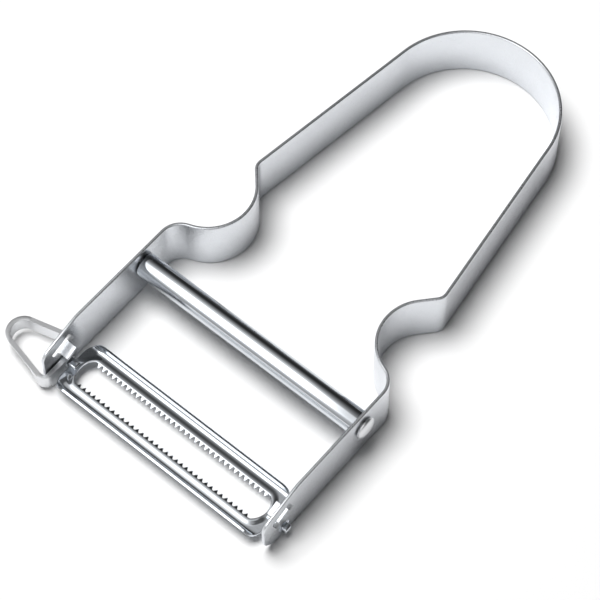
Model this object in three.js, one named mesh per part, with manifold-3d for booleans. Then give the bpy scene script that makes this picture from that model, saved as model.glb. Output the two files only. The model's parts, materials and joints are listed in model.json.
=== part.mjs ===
// A strap-handled vegetable peeler with a swivelling toothed blade.
// Millimetres, +Z up. X runs along the blade, -Y points from the handle to the blade, and the
// origin is on the lower edge of the strip, in the middle of the handle's round end.
import * as THREE from 'three';
import { mergeVertices } from 'three/addons/utils/BufferGeometryUtils.js';
import Module from 'manifold-3d';

const wasm = await Module();
wasm.setup();

// Handle strip
const STRIP_WIDTH = 13;
const STRIP_THICK = 0.7;
const END_RADIUS = 18.6;
const LEG_SPLAY_DEG = 7.5;
const LEG_LENGTH = 39.5;
const SHOULDER_RADIUS = 2.5;
const SHOULDER_TURN_DEG = 49.6;
const THUMB_APPROACH = 3.7;
const THUMB_RADIUS = 9.6;
const THUMB_TURN_DEG = 111.1;
const THUMB_EXIT = 0.7;
const ELBOW_RADIUS = 4.6;
const ARM_LENGTH = 35;

// Arm tips
const TIP_TAPER_LENGTH = 10.2;
const TIP_TAPER_DEG = 16;
const TIP_TOP_RADIUS = 2.6;
const TIP_BOTTOM_RADIUS = 4.2;

// Lanced stop in each arm
const STOP_SETBACK = 5.6;
const STOP_HEIGHT = 7.2;
const STOP_SLOPE_DEG = 22;
const STOP_LENGTH = 3;
const STOP_REACH = 2.2;
const STOP_SLIT = 1.2;
const STOP_SLIT_DEPTH = 0.8;
const STOP_WINDOW_HEIGHT = 2;

// Crossbar and its rivets
const BAR_SETBACK = 29;
const BAR_HEIGHT = 8.5;
const BAR_DIAMETER = 5.2;
const RIVET_SHANK_DIAMETER = 2.8;
const RIVET_SHANK_DEPTH = 9;
const RIVET_HEAD_DIAMETER = 4.7;
const RIVET_HEAD_HEIGHT = 1.1;

// Blade
const PIVOT_SETBACK = 5.7;
const PIVOT_HEIGHT = 2.5;
const PIVOT_HOLE_DIAMETER = 2.9;
const BLADE_THICK = 0.5;
const BLADE_FLOOR_WIDTH = 9.66;
const BLADE_WALL_RADIUS = 1;
const BLADE_WALL_SLOPE_DEG = 72;
const BLADE_WALL_RUN = 0.56;
const BLADE_CORNER_RADIUS = 3.2;
const SLOT_WIDTH = 6.2;
const SLOT_END_BULGE = 1.6;
const SLOT_END_WEB = 1.9;
const TOOTH_PITCH = 1.25;
const TOOTH_BASE = 0.9;
const TOOTH_HEIGHT = 0.85;
const TONGUE_WIDTH = 1.7;
const TONGUE_THICK = 1.4;
const TONGUE_CORNER_RADIUS = 0.35;
const TONGUE_REACH = 1.2;

// Eye remover
const EYE_TOP = 4.5;
const EYE_BOTTOM = 1.1;
const EYE_STRIP_THICK = 1;
const EYE_HOOK_REACH = 7.5;
const EYE_HOOK_RADIUS = 1.3;
const EYE_NEAR_SPLAY_DEG = 12.5;
const EYE_FAR_SPLAY_DEG = 15;
const EYE_LEG_LENGTH = 9.6;
const EYE_TIP_RADIUS = 3.05;
const EYE_FOOT_RADIUS = 1.2;
const EYE_FOOT_LENGTH = 3.6;
const EYE_EDGE_THICK = 0.3;
const EYE_EDGE_RUN_IN = 2.6;

// Clearances
const SEAT_GAP = 0.25;
const HOLE_GAP = 0.3;
const BLADE_END_GAP = 0.5;
const EYE_TIP_GAP = 0.6;

// Roundness
const ARC_STEP_DEG = 6;
const ROUND_SEGMENTS = 40;

const radians = THREE.MathUtils.degToRad;
const X_AXIS = new THREE.Vector3(1, 0, 0);
const Y_AXIS = new THREE.Vector3(0, 1, 0);
const Z_AXIS = new THREE.Vector3(0, 0, 1);

// Solids

function toSolid(geometry) {
  const bare = geometry.clone();
  bare.deleteAttribute('normal');
  bare.deleteAttribute('uv');
  const merged = mergeVertices(bare);
  const index = merged.index.array;
  const triangles = [];
  for (let i = 0; i < index.length; i += 3) {
    const [a, b, c] = [index[i], index[i + 1], index[i + 2]];
    if (a !== b && b !== c && c !== a) triangles.push(a, b, c);
  }
  const mesh = new wasm.Mesh({
    numProp: 3,
    vertProperties: new Float32Array(merged.attributes.position.array),
    triVerts: new Uint32Array(triangles),
  });
  return new wasm.Manifold(mesh);
}

function toGeometry(solid) {
  const mesh = solid.getMesh();
  const geometry = new THREE.BufferGeometry();
  geometry.setAttribute('position', new THREE.BufferAttribute(mesh.vertProperties, 3));
  geometry.setIndex(new THREE.BufferAttribute(mesh.triVerts, 1));
  geometry.computeVertexNormals();
  return geometry;
}

// An outline in X and Y, standing from one height to another.
function upright(points, bottom, top) {
  const depth = top - bottom;
  const geometry = new THREE.ExtrudeGeometry(new THREE.Shape(points), { depth, bevelEnabled: false });
  return geometry.translate(0, 0, bottom);
}

// An outline in Y and Z, running along X from one place to another.
function crosswise(points, from, to) {
  const depth = to - from;
  const geometry = new THREE.ExtrudeGeometry(new THREE.Shape(points), { depth, bevelEnabled: false });
  const turn = new THREE.Matrix4().makeBasis(Y_AXIS, Z_AXIS, X_AXIS);
  return geometry.applyMatrix4(turn).translate(from, 0, 0);
}

// A round pin along X.
function crossPin(diameter, from, to, y, z) {
  const radius = diameter / 2;
  const geometry = new THREE.CylinderGeometry(radius, radius, to - from, ROUND_SEGMENTS);
  return geometry.rotateZ(Math.PI / 2).translate((from + to) / 2, y, z);
}

// A profile of distance from the axis and place along it, turned about X.
function turned(profile, y, z) {
  const geometry = new THREE.LatheGeometry(profile, ROUND_SEGMENTS);
  return geometry.rotateZ(-Math.PI / 2).translate(0, y, z);
}

// Points round an arc, both ends included.
function arcPoints(centreX, centreY, radius, fromDeg, toDeg) {
  const steps = Math.max(2, Math.ceil(Math.abs(toDeg - fromDeg) / ARC_STEP_DEG));
  const points = [];
  for (let i = 0; i <= steps; i += 1) {
    const angle = radians(fromDeg + (toDeg - fromDeg) * i / steps);
    points.push(new THREE.Vector2(centreX + radius * Math.cos(angle), centreY + radius * Math.sin(angle)));
  }
  return points;
}

// The centreline of a bent strip: straight runs, and bends that turn left when positive.
class BentStrip {
  constructor(x, y, headingDeg) {
    this.at = new THREE.Vector2(x, y);
    this.headingDeg = headingDeg;
    this.stations = [this.station()];
  }

  station() {
    return { at: this.at.clone(), headingDeg: this.headingDeg };
  }

  run(length) {
    const heading = radians(this.headingDeg);
    this.at.add(new THREE.Vector2(length * Math.cos(heading), length * Math.sin(heading)));
    this.stations.push(this.station());
    return this;
  }

  bend(radius, turnDeg) {
    const side = Math.sign(turnDeg);
    const startDeg = this.headingDeg - 90 * side;
    const centre = this.at.clone().sub(polar(radius, startDeg));
    const steps = Math.max(2, Math.ceil(Math.abs(turnDeg) / ARC_STEP_DEG));
    const enterDeg = this.headingDeg;
    for (let i = 1; i <= steps; i += 1) {
      const part = turnDeg * i / steps;
      this.at = centre.clone().add(polar(radius, startDeg + part));
      this.headingDeg = enterDeg + part;
      this.stations.push(this.station());
    }
    return this;
  }

  // The strip's edge, this far to the left of its centreline.
  edge(offset) {
    return this.stations.map(({ at, headingDeg }) => at.clone().add(polar(offset, headingDeg + 90)));
  }

  // A solid with four corners at every station, each this far to the left and this high.
  sweep(cornersAt) {
    const positions = [];
    this.stations.forEach(({ at, headingDeg }, i) => {
      for (const [offset, height] of cornersAt(i)) {
        const corner = at.clone().add(polar(offset, headingDeg + 90));
        positions.push(corner.x, corner.y, height);
      }
    });
    const index = [0, 2, 1, 0, 3, 2];
    const last = 4 * (this.stations.length - 1);
    for (let ring = 0; ring < last; ring += 4) {
      for (let corner = 0; corner < 4; corner += 1) {
        const here = ring + corner;
        const beside = ring + (corner + 1) % 4;
        index.push(here, beside, here + 4, beside, beside + 4, here + 4);
      }
    }
    index.push(last, last + 1, last + 2, last, last + 2, last + 3);
    const geometry = new THREE.BufferGeometry();
    geometry.setAttribute('position', new THREE.Float32BufferAttribute(positions, 3));
    return geometry.setIndex(index);
  }
}

function polar(radius, angleDeg) {
  const angle = radians(angleDeg);
  return new THREE.Vector2(radius * Math.cos(angle), radius * Math.sin(angle));
}

function mirrored(points) {
  return points.map((point) => new THREE.Vector2(-point.x, point.y)).reverse();
}

// The handle's centreline, from the middle of its round end to the right arm's tip.
const legHeadingDeg = -90 + LEG_SPLAY_DEG;
const elbowTurnDeg = -90 - (legHeadingDeg - SHOULDER_TURN_DEG + THUMB_TURN_DEG);
const handleLine = new BentStrip(0, 0, 0)
  .bend(END_RADIUS, legHeadingDeg)
  .run(LEG_LENGTH)
  .bend(SHOULDER_RADIUS, -SHOULDER_TURN_DEG)
  .run(THUMB_APPROACH)
  .bend(THUMB_RADIUS, THUMB_TURN_DEG)
  .run(THUMB_EXIT)
  .bend(ELBOW_RADIUS, elbowTurnDeg)
  .run(ARM_LENGTH);

// Places that every other piece takes from the handle
const armX = handleLine.at.x;
const tipY = handleLine.at.y;
const armInner = armX - STRIP_THICK / 2;
const armOuter = armX + STRIP_THICK / 2;
const barY = tipY + BAR_SETBACK;
const pivotY = tipY + PIVOT_SETBACK;
const stopY = tipY + STOP_SETBACK;
const boreDiameter = RIVET_SHANK_DIAMETER + 2 * HOLE_GAP;

// What is cut away in front of and above the arms' tapered, rounded tips.
function tipWaste() {
  const clear = STRIP_WIDTH;
  const taperY = tipY + TIP_TAPER_LENGTH;
  const fall = Math.tan(radians(TIP_TAPER_DEG));
  const topAt = (y) => STRIP_WIDTH - (taperY - y) * fall;
  const roundY = tipY + TIP_TOP_RADIUS;
  const drop = TIP_TOP_RADIUS / Math.cos(radians(TIP_TAPER_DEG));
  const topRound = arcPoints(roundY, topAt(roundY) - drop, TIP_TOP_RADIUS, 90 + TIP_TAPER_DEG, 180);
  const lowRound = arcPoints(tipY + TIP_BOTTOM_RADIUS, TIP_BOTTOM_RADIUS, TIP_BOTTOM_RADIUS, 180, 270);
  return crosswise([
    new THREE.Vector2(taperY, STRIP_WIDTH),
    ...topRound,
    ...lowRound,
    new THREE.Vector2(tipY + TIP_BOTTOM_RADIUS, -clear),
    new THREE.Vector2(tipY - clear, -clear),
    new THREE.Vector2(tipY - clear, STRIP_WIDTH + clear),
    new THREE.Vector2(taperY, STRIP_WIDTH + clear),
  ], -armX - clear, armX + clear);
}

// Puts what is made round the origin at the bend of an arm's stop, along its slope.
function atStop(geometry, side) {
  return geometry.rotateX(radians(STOP_SLOPE_DEG)).translate(side * armX, stopY, STOP_HEIGHT);
}

// The window that the stop leaves in the arm, above its bend.
function stopWindow(side) {
  const window = new THREE.BoxGeometry(3 * STRIP_THICK, STOP_LENGTH + 2 * STOP_SLIT, STOP_WINDOW_HEIGHT);
  return atStop(window.translate(0, 0, STOP_WINDOW_HEIGHT / 2), side);
}

// The slit that runs down beside one end of the stop's bend.
function stopSlit(side, end) {
  const slit = new THREE.BoxGeometry(3 * STRIP_THICK, STOP_SLIT, 2 * STOP_SLIT_DEPTH);
  return atStop(slit.translate(0, end * (STOP_LENGTH + STOP_SLIT) / 2, 0), side);
}

// The tab that is bent square inwards to stop the blade's rails.
function stopTab(side) {
  const across = STRIP_THICK / 2 + STOP_REACH;
  const tab = new THREE.BoxGeometry(across, STOP_LENGTH, STRIP_THICK);
  return atStop(tab.translate(-side * across / 2, 0, -STRIP_THICK / 2), side);
}

function handleStrap() {
  const outer = handleLine.edge(STRIP_THICK / 2);
  const inner = handleLine.edge(-STRIP_THICK / 2);
  const rightSide = [...outer, ...inner.reverse()];
  const outline = [...rightSide, ...mirrored(rightSide).slice(1, -1)];
  let solid = toSolid(upright(outline, 0, STRIP_WIDTH)).subtract(toSolid(tipWaste()));
  for (const side of [-1, 1]) {
    for (const cut of [stopWindow(side), stopSlit(side, -1), stopSlit(side, 1)]) {
      solid = solid.subtract(toSolid(cut));
    }
    solid = solid.add(toSolid(stopTab(side)));
  }
  const reach = armOuter + STRIP_THICK;
  const rivetHoles = crossPin(boreDiameter, -reach, reach, barY, BAR_HEIGHT);
  const pivotHoles = crossPin(PIVOT_HOLE_DIAMETER, -reach, reach, pivotY, PIVOT_HEIGHT);
  return toGeometry(solid.subtract(toSolid(rivetHoles)).subtract(toSolid(pivotHoles)));
}

function crossbar() {
  const end = armInner - SEAT_GAP;
  const bar = toSolid(crossPin(BAR_DIAMETER, -end, end, barY, BAR_HEIGHT));
  const bore = toSolid(crossPin(boreDiameter, -armOuter, armOuter, barY, BAR_HEIGHT));
  return toGeometry(bar.subtract(bore));
}

// A domed rivet: its head lies against the arm and its shank goes into the crossbar.
function rivet(side) {
  const seat = armOuter + SEAT_GAP;
  const shank = RIVET_SHANK_DIAMETER / 2;
  const rim = RIVET_HEAD_DIAMETER / 2;
  const domeRadius = (rim * rim + RIVET_HEAD_HEIGHT * RIVET_HEAD_HEIGHT) / (2 * RIVET_HEAD_HEIGHT);
  const domeDeg = THREE.MathUtils.radToDeg(Math.asin(Math.min(1, rim / domeRadius)));
  const domeCentre = seat + RIVET_HEAD_HEIGHT - domeRadius;
  const profile = [
    new THREE.Vector2(0, armInner - RIVET_SHANK_DEPTH),
    new THREE.Vector2(shank, armInner - RIVET_SHANK_DEPTH),
    new THREE.Vector2(shank, seat),
    ...arcPoints(0, domeCentre, domeRadius, 90 - domeDeg, 90),
  ];
  const solid = toSolid(turned(profile, 0, 0).rotateZ(side > 0 ? 0 : Math.PI));
  return toGeometry(solid.translate([0, barY, BAR_HEIGHT]));
}

const bladeHalf = armInner - SEAT_GAP - EYE_STRIP_THICK - BLADE_END_GAP;
const slotHalf = bladeHalf - SLOT_END_WEB - SLOT_END_BULGE;

// The slot's outline seen from above: toothed along both sides, bulging at both ends.
function slotOutline() {
  const half = SLOT_WIDTH / 2;
  const count = Math.floor(2 * slotHalf / TOOTH_PITCH);
  const farSide = [];
  for (let i = 0; i < count; i += 1) {
    const middle = (i - (count - 1) / 2) * TOOTH_PITCH;
    farSide.push(new THREE.Vector2(middle - TOOTH_BASE / 2, half));
    farSide.push(new THREE.Vector2(middle, half - TOOTH_HEIGHT));
    farSide.push(new THREE.Vector2(middle + TOOTH_BASE / 2, half));
  }
  const nearSide = farSide.map((point) => new THREE.Vector2(point.x, -point.y)).reverse();
  const bulgeRadius = (half * half + SLOT_END_BULGE * SLOT_END_BULGE) / (2 * SLOT_END_BULGE);
  const bulgeDeg = THREE.MathUtils.radToDeg(Math.asin(Math.min(1, half / bulgeRadius)));
  const bulgeCentre = slotHalf + SLOT_END_BULGE - bulgeRadius;
  const rightEnd = arcPoints(bulgeCentre, 0, bulgeRadius, bulgeDeg, -bulgeDeg);
  const leftEnd = arcPoints(-bulgeCentre, 0, bulgeRadius, 180 + bulgeDeg, 180 - bulgeDeg);
  return [...farSide, ...rightEnd, ...nearSide, ...leftEnd];
}

function roundedRectangle(halfX, halfY, radius) {
  const corners = [[1, 1, 0], [-1, 1, 90], [-1, -1, 180], [1, -1, 270]];
  return corners.flatMap(([signX, signY, fromDeg]) => arcPoints(
    signX * (halfX - radius), signY * (halfY - radius), radius, fromDeg, fromDeg + 90,
  ));
}

// The blade, made level with its pivot on the X axis: a shallow tray with a slot through its floor.
function blade() {
  const across = new BentStrip(0, 0, 0)
    .run(BLADE_FLOOR_WIDTH / 2)
    .bend(BLADE_WALL_RADIUS, BLADE_WALL_SLOPE_DEG)
    .run(BLADE_WALL_RUN);
  const farSide = [...across.edge(-BLADE_THICK / 2), ...across.edge(BLADE_THICK / 2).reverse()];
  const section = [...farSide, ...mirrored(farSide).slice(1, -1)];
  const tray = toSolid(crosswise(section, -bladeHalf, bladeHalf));
  const half = across.at.x + BLADE_THICK;
  const tall = BLADE_FLOOR_WIDTH;
  const plan = upright(roundedRectangle(bladeHalf, half, BLADE_CORNER_RADIUS), -tall, tall);
  const slot = upright(slotOutline(), -tall, tall);
  const tongueOutline = roundedRectangle(TONGUE_WIDTH / 2, TONGUE_THICK / 2, TONGUE_CORNER_RADIUS);
  const tongueRoot = slotHalf + SLOT_END_BULGE + SLOT_END_WEB / 4;
  const tongueEnd = armOuter + TONGUE_REACH;
  const rightTongue = crosswise(tongueOutline, tongueRoot, tongueEnd);
  const leftTongue = crosswise(tongueOutline, -tongueEnd, -tongueRoot);
  const solid = tray
    .intersect(toSolid(plan))
    .subtract(toSolid(slot))
    .add(toSolid(rightTongue))
    .add(toSolid(leftTongue));
  return toGeometry(solid);
}

// The eye remover's strip, from its end inside the left arm, round the arm's tip and the loop,
// to its foot on the arm's outer side. Its inside end is deep enough for the blade's pivot, and the
// loop's lower edge is ground thin from outside.
function eyeRemover() {
  const half = EYE_STRIP_THICK / 2;
  const insideX = -armInner + SEAT_GAP + half;
  const outsideX = -armOuter - SEAT_GAP - half;
  const hookY = tipY - EYE_TIP_GAP - half + EYE_HOOK_RADIUS;
  const slope = radians(EYE_FAR_SPLAY_DEG);
  const footAdvance = EYE_FOOT_RADIUS * (1 - Math.sin(slope));
  const strip = new BentStrip(insideX, hookY + EYE_HOOK_REACH, 270).run(EYE_HOOK_REACH);
  const hookFrom = strip.stations.length;
  strip.bend(EYE_HOOK_RADIUS, -90 - EYE_NEAR_SPLAY_DEG).run(EYE_EDGE_RUN_IN);
  const edgeFrom = strip.stations.length - 1;
  const tipTurnDeg = EYE_NEAR_SPLAY_DEG + EYE_FAR_SPLAY_DEG - 180;
  strip.run(EYE_LEG_LENGTH - EYE_EDGE_RUN_IN).bend(EYE_TIP_RADIUS, tipTurnDeg);
  strip.run((outsideX - strip.at.x - footAdvance) / Math.cos(slope));
  const edgeTo = strip.stations.length - 1;
  strip.bend(EYE_FOOT_RADIUS, 90 - EYE_FAR_SPLAY_DEG).run(EYE_FOOT_LENGTH);

  const upper = [[half, EYE_TOP], [-half, EYE_TOP]];
  const deep = [...upper, [-half, 0], [half, 0]];
  const plain = [...upper, [-half, EYE_BOTTOM], [half, EYE_BOTTOM]];
  const ground = [...upper, [-half, EYE_BOTTOM], [EYE_EDGE_THICK - half, EYE_BOTTOM]];
  const sectionAt = (i) => {
    if (i < hookFrom) return deep;
    return i >= edgeFrom && i <= edgeTo ? ground : plain;
  };
  const hole = crossPin(PIVOT_HOLE_DIAMETER, -armInner, 0, pivotY, PIVOT_HEIGHT);
  return toGeometry(toSolid(strip.sweep(sectionAt)).subtract(toSolid(hole)));
}

// The assembly

const satinMetal = { color: 0xb9babd, roughness: 0.42, metalness: 1 };
const polishedMetal = { color: 0xd4d6d9, roughness: 0.08, metalness: 1 };
const bladeSteel = { color: 0xa7adb5, roughness: 0.16, metalness: 1 };

function piece(name, geometry, finish) {
  const mesh = new THREE.Mesh(geometry, new THREE.MeshStandardMaterial(finish));
  mesh.name = name;
  return mesh;
}

const bladePivot = new THREE.Group();
bladePivot.position.set(0, pivotY, PIVOT_HEIGHT);
bladePivot.add(piece('blade', blade(), bladeSteel));

const peeler = new THREE.Group();
peeler.add(
  piece('handle_strap', handleStrap(), satinMetal),
  piece('crossbar', crossbar(), polishedMetal),
  piece('rivet_left', rivet(-1), polishedMetal),
  piece('rivet_right', rivet(1), polishedMetal),
  piece('eye_remover', eyeRemover(), satinMetal),
  bladePivot,
);

export default peeler;
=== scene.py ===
"""Dresses a strap-handled vegetable peeler with a toothed swivel blade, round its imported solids."""

import json
import math

import bmesh
import bpy
from bpy.props import FloatProperty, FloatVectorProperty, PointerProperty
from mathutils import Matrix, Vector


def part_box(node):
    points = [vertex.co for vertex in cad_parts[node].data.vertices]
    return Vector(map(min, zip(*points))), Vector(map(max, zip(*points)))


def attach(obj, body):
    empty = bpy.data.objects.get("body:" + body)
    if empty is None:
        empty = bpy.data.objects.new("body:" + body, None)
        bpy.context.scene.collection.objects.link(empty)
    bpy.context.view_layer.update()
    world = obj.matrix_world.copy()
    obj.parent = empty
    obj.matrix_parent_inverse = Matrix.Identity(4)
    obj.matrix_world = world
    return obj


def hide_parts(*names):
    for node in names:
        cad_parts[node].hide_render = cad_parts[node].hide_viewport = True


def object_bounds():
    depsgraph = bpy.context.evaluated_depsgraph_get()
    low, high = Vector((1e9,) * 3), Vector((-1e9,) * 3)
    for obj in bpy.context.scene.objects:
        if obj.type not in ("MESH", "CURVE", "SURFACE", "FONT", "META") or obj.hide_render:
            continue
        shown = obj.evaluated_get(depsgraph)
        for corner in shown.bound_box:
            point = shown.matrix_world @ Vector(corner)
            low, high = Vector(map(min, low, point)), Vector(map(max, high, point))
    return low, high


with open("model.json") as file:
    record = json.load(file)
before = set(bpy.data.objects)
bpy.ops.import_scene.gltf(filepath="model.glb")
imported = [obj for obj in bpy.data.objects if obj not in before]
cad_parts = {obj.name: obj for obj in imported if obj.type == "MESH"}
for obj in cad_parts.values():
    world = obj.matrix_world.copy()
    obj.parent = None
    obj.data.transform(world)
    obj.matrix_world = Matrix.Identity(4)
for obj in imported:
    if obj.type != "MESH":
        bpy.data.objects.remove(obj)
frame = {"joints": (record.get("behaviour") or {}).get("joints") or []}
CAD_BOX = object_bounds()

bl_info = {
    "name": "Vegetable peeler",
    "version": (1, 0, 0),
    "blender": (4, 5, 0),
    "location": "3D View > Sidebar > Peeler",
    "description": "Models the strap handle, crossbar, rivets, eye remover and toothed blade of a peeler",
    "category": "Object",
}

# Pieces are modelled in millimetres and brought to metres when they are finished.
MM = 1000.0
HANDLE_BODY = "handle"
BLADE_BODY = "swivel_blade"
PIVOT = Vector(frame["joints"][0]["pos_m"]) * MM
HANDLE_LOW, HANDLE_HIGH = (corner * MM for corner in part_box("handle_strap"))
BAR_LOW, BAR_HIGH = (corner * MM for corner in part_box("crossbar"))
BAR_CENTRE = (BAR_LOW + BAR_HIGH) / 2
ARM_OUTER = HANDLE_HIGH.x
TIP_Y = HANDLE_LOW.y

# Small roundings, in millimetres.
STOP_CORNER = 0.15
OPENING_EDGE = 0.07
RIVET_EDGE = 0.08
LOOP_EDGE = 0.14
SHEET_EDGE = 0.04
TONGUE_CORNER = 0.3


# Settings


def length(name, description, default):
    """A size in metres that a user may change."""
    return FloatProperty(
        name=name, description=description, default=default, min=0, precision=5, unit="LENGTH"
    )


def turn(name, description, default):
    """An angle in degrees that a user may change."""
    return FloatProperty(
        name=name, description=description, default=math.radians(default), subtype="ANGLE"
    )


def share(name, description, default):
    """A number from none to all."""
    return FloatProperty(
        name=name, description=description, default=default, min=0, max=1, subtype="FACTOR"
    )


def colour(name, description, default):
    """A linear colour."""
    return FloatVectorProperty(
        name=name, description=description, default=default, size=3, min=0, max=1, subtype="COLOR"
    )


class PeelerHandle(bpy.types.PropertyGroup):
    """Sizes of the bent strip that makes the handle and both arms."""

    strip_thick: length("Strip thickness", "Thickness of the bent strip", 0.0007)
    edge_round: length("Edge rounding", "Radius along the strip's edges", 0.00025)
    end_radius: length("Round end", "Radius of the handle's round end", 0.0186)
    leg_splay: turn("Leg splay", "How far each leg leans outwards", 7.5)
    leg_length: length("Leg", "Straight length of each leg", 0.0395)
    shoulder_radius: length("Shoulder radius", "Bend below each leg", 0.0025)
    shoulder_turn: turn("Shoulder turn", "How far the shoulder turns inwards", 49.6)
    thumb_approach: length("Thumb approach", "Straight run into the thumb rest", 0.0037)
    thumb_radius: length("Thumb radius", "Radius of the thumb rest", 0.0096)
    thumb_turn: turn("Thumb turn", "How far the thumb rest turns outwards", 111.1)
    thumb_exit: length("Thumb exit", "Straight run out of the thumb rest", 0.0007)
    elbow_radius: length("Elbow radius", "Bend into each arm", 0.0046)
    arm_length: length("Arm", "Straight length of each arm", 0.035)
    taper_length: length("Tip taper", "Length of the sloping top at each arm's tip", 0.0102)
    taper_slope: turn("Tip slope", "Slope of the top at each arm's tip", 16)
    tip_top: length("Tip top radius", "Upper corner of each arm's tip", 0.0026)
    tip_bottom: length("Tip bottom radius", "Lower corner of each arm's tip", 0.0042)
    stop_setback: length("Stop setback", "From the arm's tip to the middle of its stop", 0.0056)
    stop_height: length("Stop height", "Height of the stop's bend", 0.0072)
    stop_slope: turn("Stop slope", "Slope of the stop along the arm", 22)
    stop_length: length("Stop length", "Length of the stop along the arm", 0.003)
    stop_slit: length("Stop slit", "Width of the slit at each end of the stop", 0.0012)
    slit_lean: turn("Slit lean", "How far each slit's bottom slopes down to the right", 30)
    slit_depth: length("Slit depth", "How far each slit runs down beside the stop's bend", 0.0008)
    stop_reach: length("Stop reach", "How far the stop stands into the fork", 0.0022)
    window_height: length("Window height", "Height of the window that the stop leaves", 0.002)
    pivot_hole: length("Pivot hole", "Diameter of the hole for the blade's tongue", 0.0029)


class PeelerBar(bpy.types.PropertyGroup):
    """Sizes of the crossbar and its rivets."""

    diameter: length("Bar diameter", "Diameter of the crossbar", 0.0052)
    end_round: length("Bar end rounding", "Radius round both ends of the crossbar", 0.0003)
    shank: length("Shank diameter", "Diameter of the rivet's shank", 0.0028)
    shank_depth: length("Shank depth", "How far the shank goes into the crossbar", 0.009)
    head: length("Head diameter", "Diameter of the rivet's head", 0.0047)
    head_height: length("Head height", "Height of the rivet's dome", 0.0009)
    rim_height: length("Rim height", "Height of the plain rim under the dome", 0.0002)
    bore: length("Bore diameter", "Diameter of the hole that takes the shank", 0.0034)


class PeelerBlade(bpy.types.PropertyGroup):
    """Sizes of the toothed blade."""

    thick: length("Sheet thickness", "Thickness of the blade's sheet", 0.0005)
    half_length: length("Half length", "From the middle of the blade to its end", 0.02568)
    floor_width: length("Floor width", "Width of the floor between the walls' bends", 0.00945)
    wall_radius: length("Wall radius", "Inner radius between floor and wall", 0.0009)
    wall_slope: turn("Wall slope", "Slope of the walls", 72)
    wall_run: length("Wall", "Straight run of the walls", 0.0006)
    corner: length("Corner radius", "Radius at the corners of the sheet", 0.0032)
    slot_width: length("Slot width", "Width of the slot between the teeth's roots", 0.0062)
    slot_bulge: length("Slot bulge", "How far each end of the slot bulges", 0.0016)
    slot_web: length("End web", "Sheet left beyond each end of the slot", 0.0019)
    ridge: length("Ridge height", "Height of the ridge round the slot", 0.00017)
    pitch: length("Tooth pitch", "Distance from tooth to tooth", 0.00125)
    tooth_base: length("Tooth base", "Width of a tooth at its root", 0.0009)
    tooth_length: length("Tooth length", "How far a tooth stands into the slot", 0.00085)
    tooth_drop: length("Tooth drop", "How far a tooth's point lies below its root", 0.0003)
    tongue_width: length("Tongue width", "Width of the tongues that the blade turns on", 0.0017)
    tongue_thick: length("Tongue thickness", "Thickness of the tongues", 0.0014)
    tongue_reach: length("Tongue reach", "How far a tongue stands out of the arm", 0.0012)


class PeelerEye(bpy.types.PropertyGroup):
    """Sizes of the loop that takes out a potato's eyes."""

    top: length("Top", "Height of the strip's upper edge", 0.0045)
    bottom: length("Bottom", "Height of the loop's lower edge", 0.0011)
    thick: length("Strip thickness", "Thickness of the strip", 0.001)
    hook_reach: length("Return", "Straight run inside the arm", 0.0075)
    hook_radius: length("Hook radius", "Bend round the arm's tip", 0.0013)
    near_splay: turn("Near slope", "Slope of the loop's near leg", 12.5)
    far_splay: turn("Far slope", "Slope of the loop's far leg", 15)
    leg: length("Near leg", "Length of the loop's near leg", 0.0096)
    tip_radius: length("Tip radius", "Radius of the loop's end", 0.00305)
    foot_radius: length("Foot radius", "Bend into the foot on the arm", 0.0012)
    foot: length("Foot", "Length of the foot on the arm", 0.0036)
    edge_thick: length("Edge thickness", "Thickness of the ground lower edge", 0.0003)
    edge_run_in: length("Edge run-in", "Where the ground edge starts along the near leg", 0.0026)
    tip_gap: length("Tip gap", "From the arm's tip to the hook", 0.0006)
    seat_gap: length("Seat gap", "From the strip to the arm", 0.00025)


class PeelerFinish(bpy.types.PropertyGroup):
    """Colours and gloss of the metals."""

    strip: colour("Strip", "Satin metal of the handle", (0.725, 0.745, 0.775))
    strip_rough: share("Strip roughness", "Blur of the handle's reflections", 0.28)
    loop: colour("Loop", "Satin metal of the eye remover", (0.76, 0.77, 0.785))
    bar: colour("Bar", "Bright metal of the crossbar and rivets", (0.63, 0.66, 0.695))
    blade: colour("Blade", "Polished steel of the blade", (0.64, 0.67, 0.705))
    floor: colour("Floor", "Pale floor under the peeler", (0.93, 0.93, 0.93))


class PeelerSettings(bpy.types.PropertyGroup):
    """Everything that a user may change."""

    handle: PointerProperty(type=PeelerHandle)
    bar: PointerProperty(type=PeelerBar)
    blade: PointerProperty(type=PeelerBlade)
    eye: PointerProperty(type=PeelerEye)
    finish: PointerProperty(type=PeelerFinish)


# Modelling by hand


def clear_selection():
    """Leaves edit mode and deselects everything."""
    if bpy.context.object and bpy.context.object.mode != "OBJECT":
        bpy.ops.object.mode_set(mode="OBJECT")
    bpy.ops.object.select_all(action="DESELECT")


def begin(name):
    """Names the primitive just added and opens it in edit mode with nothing picked."""
    obj = bpy.context.object
    obj.name = name
    obj.data.name = name
    bpy.ops.object.mode_set(mode="EDIT")
    bpy.ops.mesh.select_mode(type="VERT")
    bpy.ops.mesh.select_all(action="DESELECT")
    return obj


def pick(obj, kind, test):
    """Picks the vertices, edges or faces that pass a test, and nothing else."""
    bpy.ops.mesh.select_mode(type=kind)
    bpy.ops.mesh.select_all(action="DESELECT")
    mesh = bmesh.from_edit_mesh(obj.data)
    parts = {"VERT": mesh.verts, "EDGE": mesh.edges, "FACE": mesh.faces}[kind]
    found = [part for part in parts if test(part)]
    if not found:
        raise RuntimeError(f"{obj.name}: nothing to pick")
    for part in found:
        part.select_set(True)
    mesh.select_flush_mode()
    bmesh.update_edit_mesh(obj.data)


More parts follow.
